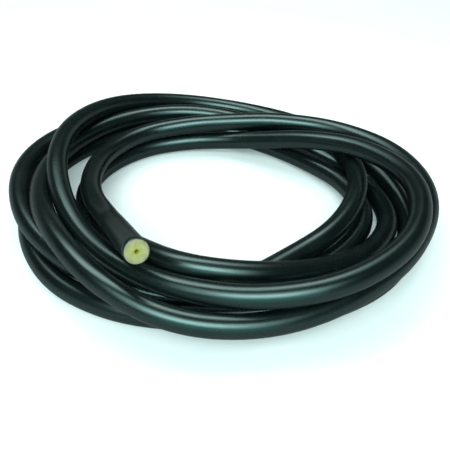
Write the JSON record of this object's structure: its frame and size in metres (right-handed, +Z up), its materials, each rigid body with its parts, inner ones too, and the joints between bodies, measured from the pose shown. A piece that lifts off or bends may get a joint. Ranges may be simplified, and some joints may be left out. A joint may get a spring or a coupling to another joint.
{
  "type": "rubber hose coil",
  "caption": "Loose coil of thick-walled rubber tubing with a thin black skin, a pale core, a small bore and bare cut ends, lying flat.",
  "frame": {"origin": "on the surface that the coil lies on, under the middle of the coil's box", "axes": "+Z up, -Y towards the side that the cut end on top of the pile faces, +X to the right as seen from that side"},
  "size_m": [0.3482, 0.3334, 0.0852],
  "materials": {
    "outer_skin": "smooth, half glossy, near black",
    "rubber_core": "dull cut face, pale yellow green"
  },
  "bodies": {
    "root": {"outer_skin": "outer_skin", "rubber_core": "rubber_core"}
  },
  "joints": []
}
